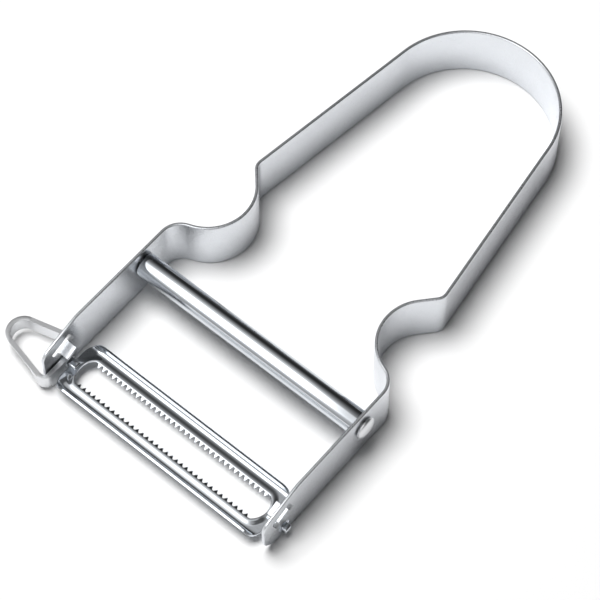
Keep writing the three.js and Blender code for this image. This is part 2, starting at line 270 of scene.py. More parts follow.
def place_picked(obj, points):
    """Puts the picked vertices at these points, in the order in which they were made."""
    mesh = bmesh.from_edit_mesh(obj.data)
    mesh.verts.ensure_lookup_table()
    picked = [vertex for vertex in mesh.verts if vertex.select]
    if len(picked) != len(points):
        raise RuntimeError(f"{obj.name}: {len(picked)} vertices for {len(points)} points")
    for vertex, point in zip(picked, points):
        vertex.co = point
    bmesh.update_edit_mesh(obj.data)


def sheet_start(name, points):
    """A plane cut down to one edge, or set to four corners, and left picked."""
    clear_selection()
    bpy.ops.mesh.primitive_plane_add(size=1)
    obj = begin(name)
    if len(points) == 2:
        pick(obj, "VERT", lambda vertex: vertex.co.x > 0)
        bpy.ops.mesh.delete(type="VERT")
    bpy.ops.mesh.select_all(action="SELECT")
    mesh = bmesh.from_edit_mesh(obj.data)
    around = [vertex for vertex in mesh.verts]
    if len(points) == 4:
        around = [loop.vert for loop in next(iter(mesh.faces)).loops]
    for vertex, point in zip(around, points):
        vertex.co = point
    bmesh.update_edit_mesh(obj.data)
    return obj


class Bending:
    """Draws what is picked along a flat path of straight runs and bends."""

    def __init__(self, x, y, heading):
        self.at = Vector((x, y, 0))
        self.heading = heading
        self.stations = [(self.at.copy(), heading)]

    def ahead(self):
        return Vector((math.cos(self.heading), math.sin(self.heading), 0))

    def run(self, distance):
        step = self.ahead() * distance
        bpy.ops.mesh.extrude_region_move(TRANSFORM_OT_translate={"value": step})
        self.at += step
        self.stations.append((self.at.copy(), self.heading))
        return self

    def bend(self, radius, angle, steps):
        """Turns left for a positive angle."""
        side = math.copysign(1, angle)
        left = Vector((-math.sin(self.heading), math.cos(self.heading), 0))
        centre = self.at + left * radius * side
        bpy.ops.mesh.spin(steps=steps, angle=-angle, center=centre, axis=(0, 0, 1))
        arm = self.at - centre
        for i in range(1, steps + 1):
            part = angle * i / steps
            self.at = centre + Matrix.Rotation(part, 3, "Z") @ arm
            self.stations.append((self.at.copy(), self.heading + part))
        self.heading += angle
        return self

    def nearest(self, point):
        """The number of the station beside a point, and how far to its left the point lies."""
        best = None
        for i, (at, heading) in enumerate(self.stations):
            away = Vector((point.x - at.x, point.y - at.y, 0))
            along = away.x * math.cos(heading) + away.y * math.sin(heading)
            aside = away.y * math.cos(heading) - away.x * math.sin(heading)
            if best is None or abs(along) + abs(aside) < best[0]:
                best = (abs(along) + abs(aside), i, aside)
        return best[1], best[2]


def mend(obj, distance=0.001):
    """Merges doubles and turns every face outwards."""
    bpy.ops.object.mode_set(mode="EDIT")
    bpy.ops.mesh.select_mode(type="VERT")
    bpy.ops.mesh.select_all(action="SELECT")
    bpy.ops.mesh.remove_doubles(threshold=distance)
    bpy.ops.mesh.normals_make_consistent(inside=False)
    bpy.ops.object.mode_set(mode="OBJECT")


def choose(obj):
    """Makes one object the only one selected."""
    clear_selection()
    obj.select_set(True)
    bpy.context.view_layer.objects.active = obj


def apply_modifier(obj, kind, **settings):
    """Adds a modifier with these settings and applies it."""
    choose(obj)
    modifier = obj.modifiers.new(kind.title(), kind)
    for key, value in settings.items():
        setattr(modifier, key, value)
    bpy.ops.object.modifier_apply(modifier=modifier.name)


def round_edges(obj, width, segments=3, limit=35):
    """Rounds every edge that is sharper than the limit."""
    apply_modifier(
        obj,
        "BEVEL",
        width=width,
        segments=segments,
        limit_method="ANGLE",
        angle_limit=math.radians(limit),
        miter_outer="MITER_ARC",
        use_clamp_overlap=True,
    )


def cut(obj, cutter):
    """Takes the cutter out of a piece."""
    apply_modifier(obj, "BOOLEAN", operation="DIFFERENCE", solver="EXACT", object=cutter)
    bpy.data.objects.remove(cutter)


def join(objects):
    """Joins objects into the first."""
    choose(objects[0])
    for obj in objects[1:]:
        obj.select_set(True)
    bpy.ops.object.join()
    return objects[0]


def cross_pin(name, diameter, x_from, x_to, y, z, segments=48):
    """A round pin along X, with its ends left flat."""
    clear_selection()
    bpy.ops.mesh.primitive_cylinder_add(
        vertices=segments,
        radius=diameter / 2,
        depth=x_to - x_from,
        location=((x_from + x_to) / 2, y, z),
        rotation=(0, math.pi / 2, 0),
    )
    bpy.ops.object.transform_apply(location=True, rotation=True, scale=True)
    obj = bpy.context.object
    obj.name = name
    return obj


def rounded_block(name, size, radius, segments=4):
    """A block with every edge rounded, round the origin."""
    clear_selection()
    bpy.ops.mesh.primitive_cube_add(size=1)
    obj = begin(name)
    bpy.ops.mesh.select_all(action="SELECT")
    bpy.ops.transform.resize(value=size)
    bpy.ops.mesh.bevel(offset=radius, segments=segments, affect="EDGES")
    bpy.ops.object.mode_set(mode="OBJECT")
    return obj


def settle(obj, material, body, node, smooth=40, flat_faces=False):
    """Brings a finished piece to metres, gives it its finish and sets it on its body."""
    choose(obj)
    obj.scale = obj.scale / MM
    obj.location = obj.location / MM
    bpy.ops.object.transform_apply(location=True, rotation=True, scale=True)
    bpy.ops.object.shade_smooth_by_angle(angle=math.radians(smooth))
    if flat_faces:
        apply_modifier(obj, "WEIGHTED_NORMAL", mode="FACE_AREA", keep_sharp=True)
    obj.data.materials.clear()
    obj.data.materials.append(material)
    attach(obj, body)
    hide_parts(node)
    return obj


# Finishes


class Finish:
    """A metal whose nodes are added one by one."""

    def __init__(self, name, base, roughness):
        self.material = bpy.data.materials.new(name)
        self.material.use_nodes = True
        self.nodes = self.material.node_tree.nodes
        self.links = self.material.node_tree.links
        self.shader = self.nodes["Principled BSDF"]
        self.shader.inputs["Metallic"].default_value = 1
        self.shader.inputs["Base Color"].default_value = (*base, 1)
        self.shader.inputs["Roughness"].default_value = roughness
        self.place = self.nodes.new("ShaderNodeTexCoord").outputs["Object"]

    def noise(self, scale, detail, stretch=(1, 1, 1)):
        """Noise over the piece, drawn out along its axes."""
        mapping = self.nodes.new("ShaderNodeMapping")
        mapping.inputs["Scale"].default_value = stretch
        self.links.new(self.place, mapping.inputs["Vector"])
        texture = self.nodes.new("ShaderNodeTexNoise")
        texture.inputs["Scale"].default_value = scale
        texture.inputs["Detail"].default_value = detail
        self.links.new(mapping.outputs["Vector"], texture.inputs["Vector"])
        return texture.outputs["Fac"]

    def tint(self, fac, dark, light):
        """Colour between two shades."""
        ramp = self.nodes.new("ShaderNodeValToRGB")
        ramp.color_ramp.elements[0].position = 0.3
        ramp.color_ramp.elements[0].color = (*dark, 1)
        ramp.color_ramp.elements[1].position = 0.7
        ramp.color_ramp.elements[1].color = (*light, 1)
        self.links.new(fac, ramp.inputs["Fac"])
        self.links.new(ramp.outputs["Color"], self.shader.inputs["Base Color"])

    def blur(self, fac, low, high):
        """Roughness between two values."""
        spread = self.nodes.new("ShaderNodeMapRange")
        spread.inputs["To Min"].default_value = low
        spread.inputs["To Max"].default_value = high
        self.links.new(fac, spread.inputs["Value"])
        self.links.new(spread.outputs["Result"], self.shader.inputs["Roughness"])

    def relief(self, fac, strength, depth):
        """Fine unevenness."""
        bump = self.nodes.new("ShaderNodeBump")
        bump.inputs["Strength"].default_value = strength
        bump.inputs["Distance"].default_value = depth
        self.links.new(fac, bump.inputs["Height"])
        self.links.new(bump.outputs["Normal"], self.shader.inputs["Normal"])


def shaded(base, factor):
    """A colour made lighter or darker."""
    return tuple(min(1, part * factor) for part in base)


def satin_metal(name, base, roughness):
    """Tumbled metal with a soft, faintly clouded sheen."""
    finish = Finish(name, base, roughness)
    cloud = finish.noise(90, 3)
    grain = finish.noise(5200, 2)
    finish.tint(cloud, shaded(base, 0.96), shaded(base, 1.03))
    finish.blur(grain, roughness - 0.04, roughness + 0.05)
    finish.relief(grain, 0.12, 0.00002)
    return finish.material


def bright_metal(name, base, roughness):
    """Plated metal with a mirror finish and the lightest of handling marks."""
    finish = Finish(name, base, roughness)
    marks = finish.noise(700, 4, (0.15, 1, 1))
    finish.tint(finish.noise(60, 2), shaded(base, 0.98), shaded(base, 1.02))
    finish.blur(marks, roughness * 0.7, roughness * 1.5)
    return finish.material


def blade_steel(name, base, roughness):
    """Cold-rolled steel, polished along the blade."""
    finish = Finish(name, base, roughness)
    lines = finish.noise(2600, 3, (0.02, 1, 1))
    finish.tint(lines, shaded(base, 0.97), shaded(base, 1.03))
    finish.blur(lines, roughness * 0.8, roughness * 1.3)
    finish.relief(lines, 0.05, 0.00001)
    return finish.material


# Handle


def strip_ribbon(sizes, name):
    """The right half of the handle's strip as a bare ribbon, from the round end to the arm's tip."""
    width = HANDLE_HIGH.z
    obj = sheet_start(name, [(0, 0, 0), (0, 0, width)])
    leg_heading = math.radians(-90) + sizes.leg_splay
    path = Bending(0, 0, 0).bend(sizes.end_radius * MM, leg_heading, 48).run(sizes.leg_length * MM)
    path.bend(sizes.shoulder_radius * MM, -sizes.shoulder_turn, 16).run(sizes.thumb_approach * MM)
    path.bend(sizes.thumb_radius * MM, sizes.thumb_turn, 48).run(sizes.thumb_exit * MM)
    path.bend(sizes.elbow_radius * MM, math.radians(-90) - path.heading, 20).run(sizes.arm_length * MM)
    return obj, path


def shape_tip(obj, sizes):
    """Tapers the arm's tip and rounds both its corners."""
    width = HANDLE_HIGH.z
    taper_y = TIP_Y + sizes.taper_length * MM
    slope = Vector((0, -math.sin(sizes.taper_slope), math.cos(sizes.taper_slope)))
    # The end of the arm is parted first, so that the slope cuts nothing but the tip.
    pick(obj, "FACE", lambda face: face.calc_center_median().y < TIP_Y + 30)
    bpy.ops.mesh.bisect(plane_co=(0, taper_y, 0), plane_no=(0, 1, 0))
    pick(obj, "FACE", lambda face: face.calc_center_median().y < taper_y)
    bpy.ops.mesh.bisect(plane_co=(0, taper_y, width), plane_no=slope, clear_outer=True)
    corners = (
        (lambda z: z < 0.01, sizes.tip_bottom * MM, 12),
        (lambda z: z > 5, sizes.tip_top * MM * math.tan((math.pi / 2 - sizes.taper_slope) / 2), 10),
    )
    for at_height, offset, segments in corners:
        pick(obj, "VERT", lambda v, high=at_height: v.co.y < TIP_Y + 0.01 and high(v.co.z))
        bpy.ops.mesh.bevel(offset=offset, segments=segments, affect="VERTICES")


def at_stop(obj, sizes, side):
    """Sets what was made round the origin at the bend of an arm's stop, along its slope."""
    arm_x = ARM_OUTER - sizes.strip_thick * MM / 2
    choose(obj)
    obj.rotation_euler = (sizes.stop_slope, 0, 0)
    obj.location = (side * arm_x, TIP_Y + sizes.stop_setback * MM, sizes.stop_height * MM)
    bpy.ops.object.transform_apply(location=True, rotation=True, scale=True)
    return obj


def stop_opening(sizes, name, side, middle, size, lean=0):
    """A through-cut near an arm's stop, with its middle so far along and above the stop's bend."""
    opening = rounded_block(f"{name}_{side}", size, STOP_CORNER)
    opening.rotation_euler = (0, lean, 0)
    opening.location = (0, *middle)
    choose(opening)
    bpy.ops.object.transform_apply(location=True, rotation=True, scale=True)
    return at_stop(opening, sizes, side)


def stop_window(sizes, side):
    """What the lanced stop leaves open above its bend."""
    tall = sizes.window_height * MM
    size = (4 * sizes.strip_thick * MM, (sizes.stop_length + 2 * sizes.stop_slit) * MM, tall)
    return stop_opening(sizes, "window", side, (0, tall / 2), size)


def stop_slit(sizes, side, end):
    """The slit that runs down beside one end of a stop's bend."""
    low, high = -sizes.slit_depth * MM, sizes.window_height * MM
    size = (4 * sizes.strip_thick * MM, sizes.stop_slit * MM, high - low)
    middle = (end * (sizes.stop_length + sizes.stop_slit) * MM / 2, (low + high) / 2)
    return stop_opening(sizes, f"slit_{end}", side, middle, size, sizes.slit_lean)


def stop_tab(sizes, side):
    """The tab that is bent square out of the arm, into the fork."""
    thick = sizes.strip_thick * MM
    reach = thick / 2 + sizes.stop_reach * MM
    tab = rounded_block(f"stop_{side}", (reach, sizes.stop_length * MM, thick), STOP_CORNER)
    tab.location = (-side * reach / 2, 0, -thick / 2)
    choose(tab)
    bpy.ops.object.transform_apply(location=True, rotation=True, scale=True)
    return at_stop(tab, sizes, side)


class PEELER_OT_handle(bpy.types.Operator):
    """Bend the handle's strip, taper its tips and lance its stops"""

    bl_idname = "peeler.handle"
    bl_label = "Handle strip"

    def execute(self, context):
        settings = context.scene.peeler
        sizes = settings.handle
        obj, _ = strip_ribbon(sizes, "handle_strip")
        shape_tip(obj, sizes)
        mend(obj)
        apply_modifier(obj, "MIRROR", use_axis=(True, False, False), merge_threshold=0.01)
        mend(obj)
        apply_modifier(
            obj, "SOLIDIFY", thickness=sizes.strip_thick * MM, offset=0, use_even_offset=True
        )
        mend(obj)
        round_edges(obj, sizes.edge_round * MM, 4)
        reach = ARM_OUTER + 1
        holes = [
            cross_pin("bores", settings.bar.bore * MM, -reach, reach, BAR_CENTRE.y, BAR_CENTRE.z),
            cross_pin("pivots", sizes.pivot_hole * MM, -reach, reach, PIVOT.y, PIVOT.z),
        ]
        for cutter in [*holes, *(stop_window(sizes, side) for side in (-1, 1))]:
            cut(obj, cutter)
        for side, end in ((-1, -1), (-1, 1), (1, -1), (1, 1)):
            cut(obj, stop_slit(sizes, side, end))
        round_edges(obj, OPENING_EDGE, 2, 60)
        join([obj, *(stop_tab(sizes, side) for side in (-1, 1))])
        finish = settings.finish
        metal = satin_metal("satin_strip", finish.strip, finish.strip_rough)
        settle(obj, metal, HANDLE_BODY, "handle_strap", flat_faces=True)
        return {"FINISHED"}


# Crossbar and rivets


class PEELER_OT_crossbar(bpy.types.Operator):
    """Turn the crossbar, bore its ends and round them"""

    bl_idname = "peeler.crossbar"
    bl_label = "Crossbar"

    def execute(self, context):
        settings = context.scene.peeler
        sizes = settings.bar
        obj = cross_pin(
            "cross_bar", sizes.diameter * MM, BAR_LOW.x, BAR_HIGH.x, BAR_CENTRE.y, BAR_CENTRE.z, 96
        )
        begin("cross_bar")
        pick(obj, "FACE", lambda face: abs(face.normal.x) > 0.9)
        bpy.ops.mesh.inset(thickness=(sizes.diameter - sizes.bore) * MM / 2)
        for side in (-1, 1):
            pick(obj, "FACE", lambda face, s=side: face.normal.x * s > 0.9 and len(face.verts) > 4)
            depth = sizes.shank_depth * MM + 0.5
            bpy.ops.mesh.extrude_region_move(TRANSFORM_OT_translate={"value": (-side * depth, 0, 0)})
        bpy.ops.object.mode_set(mode="OBJECT")
        mend(obj)
        round_edges(obj, sizes.end_round * MM, 4)
        metal = bright_metal("bright_bar", settings.finish.bar, 0.06)
        settle(obj, metal, HANDLE_BODY, "crossbar")
        return {"FINISHED"}


class PEELER_OT_rivets(bpy.types.Operator):
    """Turn one domed rivet and copy it to the other arm"""

    bl_idname = "peeler.rivets"
    bl_label = "Rivets"

    def execute(self, context):
        settings = context.scene.peeler
        sizes = settings.bar
        shank_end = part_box("rivet_right")[0].x * MM
        seat = ARM_OUTER + settings.eye.seat_gap * MM
        rim = seat + sizes.rim_height * MM
        head = cross_pin("rivet", sizes.head * MM, seat, rim, BAR_CENTRE.y, BAR_CENTRE.z, 64)
        begin("rivet")
        # The dome rises from the rim in shrinking rings.
        rise = (sizes.head_height - sizes.rim_height) * MM
        rings, fullness = 10, 0.8
        middle = (seat, BAR_CENTRE.y, BAR_CENTRE.z)
        pick(head, "FACE", lambda face: face.normal.x > 0.9)
        before = (1.0, 0.0)
        for i in range(1, rings + 1):
            angle = math.pi / 2 * i / (rings + 0.6)
            radius, height = math.cos(angle) ** fullness, math.sin(angle) ** fullness
            step = (height - before[1]) * rise
            bpy.ops.mesh.extrude_region_move(TRANSFORM_OT_translate={"value": (step, 0, 0)})
            scale = radius / before[0]
            bpy.ops.transform.resize(value=(1, scale, scale), center_override=middle)
            before = (radius, height)
        pick(head, "FACE", lambda face: face.normal.x < -0.9)
        bpy.ops.mesh.inset(thickness=(sizes.head - sizes.shank) * MM / 2)
        pick(head, "FACE", lambda face: face.normal.x < -0.9 and len(face.verts) > 4)
        bpy.ops.mesh.extrude_region_move(TRANSFORM_OT_translate={"value": (shank_end - seat, 0, 0)})
        bpy.ops.object.mode_set(mode="OBJECT")
        mend(head)
        round_edges(head, RIVET_EDGE, 3, 50)
        metal = satin_metal("satin_rivet", settings.finish.loop, 0.4)
        choose(head)
        bpy.ops.object.duplicate()
        twin = bpy.context.object
        choose(twin)
        bpy.ops.transform.mirror(constraint_axis=(True, False, False), center_override=(0, 0, 0))
        bpy.ops.object.transform_apply(location=True, rotation=True, scale=True)
        mend(twin)
        for obj, side in ((head, "right"), (twin, "left")):
            obj.name = f"rivet_head_{side}"
            obj.data.name = obj.name
            settle(obj, metal, HANDLE_BODY, f"rivet_{side}")
        return {"FINISHED"}


# Eye remover


class PEELER_OT_eye_remover(bpy.types.Operator):
    """Bend the eye remover's strip round the left arm's tip and grind its lower edge"""

    bl_idname = "peeler.eye_remover"
    bl_label = "Eye remover"

    def execute(self, context):
        settings = context.scene.peeler
        sizes = settings.eye
        half = sizes.thick * MM / 2
        arm_inner = ARM_OUTER - settings.handle.strip_thick * MM
        gap = sizes.seat_gap * MM
        inside_x = -arm_inner + gap + half
        outside_x = -ARM_OUTER - gap - half
        hook_y = TIP_Y - sizes.tip_gap * MM - half + sizes.hook_radius * MM
        top, bottom = sizes.top * MM, sizes.bottom * MM
        start_y = hook_y + sizes.hook_reach * MM
        corners = [(inside_x + half, start_y, top), (inside_x - half, start_y, top)]
        corners += [(inside_x - half, start_y, bottom), (inside_x + half, start_y, bottom)]
        obj = sheet_start("eye_loop", corners)
        path = Bending(inside_x, start_y, math.radians(-90)).run(sizes.hook_reach * MM)
        hook_from = len(path.stations)
        path.bend(sizes.hook_radius * MM, math.radians(-90) - sizes.near_splay, 24)
        path.run(sizes.edge_run_in * MM)
        edge_from = len(path.stations) - 1
        path.run((sizes.leg - sizes.edge_run_in) * MM)
        path.bend(sizes.tip_radius * MM, sizes.near_splay + sizes.far_splay - math.pi, 32)
        foot_radius = sizes.foot_radius * MM
        advance = foot_radius * (1 - math.sin(sizes.far_splay))
        path.run((outside_x - path.at.x - advance) / math.cos(sizes.far_splay))
        edge_to = len(path.stations) - 1
        path.bend(foot_radius, math.pi / 2 - sizes.far_splay, 14).run(sizes.foot * MM)
        # The return inside the arm is deep enough for the pivot; the loop's lower edge is ground.
        mesh = bmesh.from_edit_mesh(obj.data)
        for vertex in mesh.verts:
            if vertex.co.z > (top + bottom) / 2:
                continue
            station, aside = path.nearest(vertex.co)
            if station < hook_from:
                vertex.co.z = 0
            elif edge_from <= station <= edge_to and aside > 0:
                heading = path.stations[station][1]
                left = Vector((-math.sin(heading), math.cos(heading), 0))
                vertex.co -= left * (2 * half - sizes.edge_thick * MM)
        bmesh.update_edit_mesh(obj.data)
        mend(obj)
        hole = cross_pin("hole", settings.handle.pivot_hole * MM, -arm_inner, 0, PIVOT.y, PIVOT.z)
        cut(obj, hole)
        round_edges(obj, LOOP_EDGE, 3)
        metal = satin_metal("satin_loop", settings.finish.loop, 0.4)
        settle(obj, metal, HANDLE_BODY, "eye_remover", flat_faces=True)
        return {"FINISHED"}


# Blade


def arc_between(centre_x, centre_y, radius, start, end, count):
    """Points strictly between the ends of an arc."""
    points = []
    for i in range(1, count):
        angle = start + (end - start) * i / count
        points.append((centre_x + radius * math.cos(angle), centre_y + radius * math.sin(angle)))
    return points


def along_line(line, count):
    """Points strictly inside a chain of points, evenly spaced."""
    spans = [math.dist(a, b) for a, b in zip(line, line[1:])]
    total = sum(spans)
    points = []
    for i in range(1, count):
        goal = total * i / count
        for (a, b), span in zip(zip(line, line[1:]), spans):
            if goal <= span:
                share_along = goal / span
                points.append(tuple(p + (q - p) * share_along for p, q in zip(a, b)))
                break
            goal -= span
    return points


def quarter_copies(right_far, right_end):
    """A closed ring from its right half: the far side's right part and the right end's points."""
    far = [(-x, y) for x, y in reversed(right_far)] + right_far
    near = [(x, -y) for x, y in reversed(far)]
    left_end = [(-x, -y) for x, y in right_end]
    return far + right_end + near + left_end


class BladeSheet:
    """The blade's flat sheet, as rings from the slot's edge out to the sheet's edge."""

    END_POINTS = 40
    # How far from the slot's edge the ridge is highest, and where it has run out.
    CREST = 0.32
    VALLEY = 1.6

    def __init__(self, sizes):
        self.sizes = sizes
        self.floor = sizes.floor_width * MM / 2
        self.radius = sizes.wall_radius * MM
        self.half_slot = sizes.slot_width * MM / 2
        self.half_length = sizes.half_length * MM
        bulge = sizes.slot_bulge * MM
        self.slot_end = self.half_length - sizes.slot_web * MM
        straight = self.slot_end - bulge
        self.count = int(2 * straight / (sizes.pitch * MM))
        self.half_sheet = self.floor + self.radius * sizes.wall_slope + sizes.wall_run * MM
        self.inner = self.slot_ring(straight, bulge)
        self.outer = self.sheet_ring()

    def tooth_places(self):
        """Where the teeth's roots begin and end along the right half of the slot."""
        pitch, base = self.sizes.pitch * MM, self.sizes.tooth_base * MM
        middles = [(i - (self.count - 1) / 2) * pitch for i in range(self.count)]
        places = [middle + shift for middle in middles for shift in (-base / 2, base / 2)]
        return [x for x in places if x > 0]

    def slot_ring(self, straight, bulge):
        half = self.half_slot
        radius = (half * half + bulge * bulge) / (2 * bulge)
        spread = math.asin(half / radius)
        end = arc_between(straight + bulge - radius, 0, radius, spread, -spread, self.END_POINTS)
        return quarter_copies([(x, half) for x in self.tooth_places()], end)

    def sheet_ring(self):
        corner = self.sizes.corner * MM
        centre_x, centre_y = self.half_length - corner, self.half_sheet - corner
        last = self.tooth_places()[-1]
        down = [(last, self.half_sheet), (centre_x, self.half_sheet)]
        down += arc_between(centre_x, centre_y, corner, math.pi / 2, 0, 16)
        down += [(self.half_length, centre_y), (self.half_length, 0)]
        line = down + [(x, -y) for x, y in reversed(down[:-1])]
        end = along_line(line, self.END_POINTS)
        return quarter_copies([(x, self.half_sheet) for x in self.tooth_places()], end)

    def bent(self, x, across, lift):
        """A point of the sheet once its walls are bent up, with the pivot on the X axis."""
        side = math.copysign(1, across)
        slope = self.sizes.wall_slope
        past = max(0, abs(across) - self.floor)
        turned = min(slope, past / self.radius)
        wall = max(0, past - slope * self.radius)
        flat = min(abs(across), self.floor)
        y = flat + self.radius * math.sin(turned) + wall * math.cos(slope)
        z = self.radius * (1 - math.cos(turned)) + wall * math.sin(slope) + lift
        return Vector((x, side * y, z + self.sizes.thick * MM / 2))

    def rings(self):
        """Points of every ring. The ridge round the slot is crowded together at both ends."""
        crest, valley = self.CREST, self.VALLEY
        full = self.half_sheet - self.half_slot
        steps = [0, 0.1, 0.21, crest, 0.46, 0.6, 0.74, 0.88, 1.02, 1.16, 1.3, 1.44, 1.56]
        bend_from = self.floor - self.half_slot
        bend_to = bend_from + self.radius * self.sizes.wall_slope
        steps += [bend_from + (bend_to - bend_from) * i / 8 for i in range(9)]
        steps += [bend_to + (full - bend_to) * i / 3 for i in (1, 2, 3)]
        ridge = self.sizes.ridge * MM
        made = []
        for step in steps:
            if step < crest:
                lift = ridge * (1 - 0.2 * (1 - step / crest) ** 2)
            else:
                fall = min(1, (step - crest) / (valley - crest))
                lift = ridge * (0.5 + 0.5 * math.cos(math.pi * fall))
            ring = []
            for inner, outer in zip(self.inner, self.outer):
                reach = math.dist(inner, outer)
                ending = min(1, max(0, (full - reach) / (full - self.sizes.slot_web * MM)))
                # Near the ends the valley takes most of the web, and the rest closes up behind it.
                if step < valley:
                    close = reach * 0.8 * step / valley
                else:
                    close = reach * (0.8 + 0.2 * (step - valley) / (full - valley))
                away = step / full * reach * (1 - ending) + close * ending
                x = inner[0] + (outer[0] - inner[0]) * away / reach
                across = inner[1] + (outer[1] - inner[1]) * away / reach
                ring.append(self.bent(x, across, lift * (1 - 0.85 * ending)))
            made.append(ring)
        return made


def blade_tray(sizes):
    """The bent sheet with its teeth, drawn outwards from the slot's edge ring by ring."""
    sheet = BladeSheet(sizes)
    rings = sheet.rings()
    clear_selection()
    bpy.ops.mesh.primitive_circle_add(vertices=len(rings[0]), radius=1)
    obj = begin("toothed_blade")
    bpy.ops.mesh.select_all(action="SELECT")
    place_picked(obj, rings[0])
    for ring in rings[1:]:
        bpy.ops.mesh.extrude_edges_move()
        place_picked(obj, ring)
    # Every other root along the slot carries a tooth.
    base = sizes.tooth_base * MM

    def is_root(edge):
        a, b = (vertex.co for vertex in edge.verts)
        flat = abs(a.z - b.z) < 1e-4 and abs(a.y - b.y) < 1e-4
        at_slot = abs(abs(a.y) - sheet.half_slot) < 1e-3
        return flat and at_slot and abs(abs(a.x - b.x) - base) < 1e-3

    pick(obj, "EDGE", is_root)
    bpy.ops.mesh.extrude_edges_move()
    bpy.ops.mesh.merge(type="COLLAPSE")
    mesh = bmesh.from_edit_mesh(obj.data)
    tips = [vertex for vertex in mesh.verts if len(vertex.link_faces) == 1]
    if len(tips) != 2 * sheet.count:
        raise RuntimeError(f"{len(tips)} teeth instead of {2 * sheet.count}")
    for vertex in tips:
        vertex.co.y -= math.copysign(sizes.tooth_length * MM, vertex.co.y)
        vertex.co.z -= sizes.tooth_drop * MM
    bmesh.update_edit_mesh(obj.data)
    bpy.ops.object.mode_set(mode="OBJECT")
    return obj


class PEELER_OT_blade(bpy.types.Operator):
    """Press the blade's tray, raise its teeth and add the tongues that it turns on"""

    bl_idname = "peeler.blade"
    bl_label = "Blade"

    def execute(self, context):
        settings = context.scene.peeler
        sizes = settings.blade
        obj = blade_tray(sizes)
        bpy.ops.object.mode_set(mode="EDIT")
        bpy.ops.mesh.select_all(action="SELECT")
        bpy.ops.mesh.normals_make_consistent(inside=False)
        bpy.ops.object.mode_set(mode="OBJECT")
        if sum(face.normal.z * face.area for face in obj.data.polygons) < 0:
            bpy.ops.object.mode_set(mode="EDIT")
            bpy.ops.mesh.flip_normals()
            bpy.ops.object.mode_set(mode="OBJECT")
        apply_modifier(obj, "SOLIDIFY", thickness=sizes.thick * MM, offset=-1, use_even_offset=True)
        round_edges(obj, SHEET_EDGE, 2, 50)
        root = (sizes.half_length - sizes.slot_web * 0.75) * MM
        end = ARM_OUTER + sizes.tongue_reach * MM
        tongues = []
        for side in (-1, 1):
            size = (end - root, sizes.tongue_width * MM, sizes.tongue_thick * MM)
            tongue = rounded_block(f"tongue_{side}", size, TONGUE_CORNER)
            tongue.location = (side * (root + end) / 2, 0, 0)
            tongues.append(tongue)
        join([obj, *tongues])
        obj.location = PIVOT
        metal = blade_steel("blade_steel", settings.finish.blade, 0.09)
        settle(obj, metal, BLADE_BODY, "blade", 35)
        return {"FINISHED"}


# Stage


def level_ramp(nodes, links, fac, stops, low, high):
    """Brightness by place between two limits."""
    spread = nodes.new("ShaderNodeMapRange")
    spread.inputs["From Min"].default_value = low
    spread.inputs["From Max"].default_value = high
    links.new(fac, spread.inputs["Value"])
    ramp = nodes.new("ShaderNodeValToRGB")
    ramp.color_ramp.interpolation = "LINEAR"
    elements = ramp.color_ramp.elements
    while len(elements) < len(stops):
        elements.new(0.5)
    for element, (place, level) in zip(elements, stops):
        element.position = (place - low) / (high - low)
        element.color = (level, level, level, 1)
    links.new(spread.outputs["Result"], ramp.inputs["Fac"])
    return ramp.outputs["Color"]


def combine(nodes, links, operation, first, second):
    """Two values put together by a Math node."""
    node = nodes.new("ShaderNodeMath")
    node.operation = operation
    for socket, value in zip(node.inputs, (first, second)):
        if isinstance(value, (int, float)):
            socket.default_value = value
        else:
            links.new(value, socket)
    return node.outputs["Value"]


# How bright the long card overhead is, by degrees from overhead towards the back and by place from
# left to right.
CARD_LEAN = (
    (-72, 0), (-60, 0.24), (-50, 1), (-6, 1), (2, 0.42),
    (11, 0.245), (20, 0.136), (29, 0.068), (45, 0),
)
CARD_ASIDE = ((-0.62, 0), (-0.46, 1), (-0.2, 1), (-0.06, 0))
CARD_STRENGTH = 2.8
# How bright the room is round the cards, by the same degrees.
ROOM_LEAN = (
    (-100, 0.46), (-66, 0.52), (-40, 0.3), (0, 0.15), (30, 0.07),
    (52, 0.03), (66, 0.03), (86, 0.17), (105, 0.28),
)
# A weaker card stands beside the long one, to its right.
SIDE_LEAN = ((-60, 0), (-50, 1), (-6, 1), (4, 0))
SIDE_ASIDE = ((-0.1, 0), (-0.02, 1), (0.22, 1), (0.34, 0))
SIDE_STRENGTH = 1.6
# How much of all that reaches dull surfaces, which the key light lights.
DIM_SHARE = 0.1

KEY_SIZE = 1.25
KEY_ENERGY = 47
KEY_FROM = Vector((-0.272, -0.05, 1)).normalized()
KEY_DISTANCE = 2

# Where the photograph's camera looks, in millimetres, and how it stands to that place.
CAMERA_TARGET = Vector((-1.89, -69.03, 0))
CAMERA_BACK = Vector((0.3197, -0.3763, 0.8696)).normalized()
CAMERA_DISTANCE = 484.1
CAMERA_ROLL = math.radians(-0.3)
CAMERA_LENS = 146.4


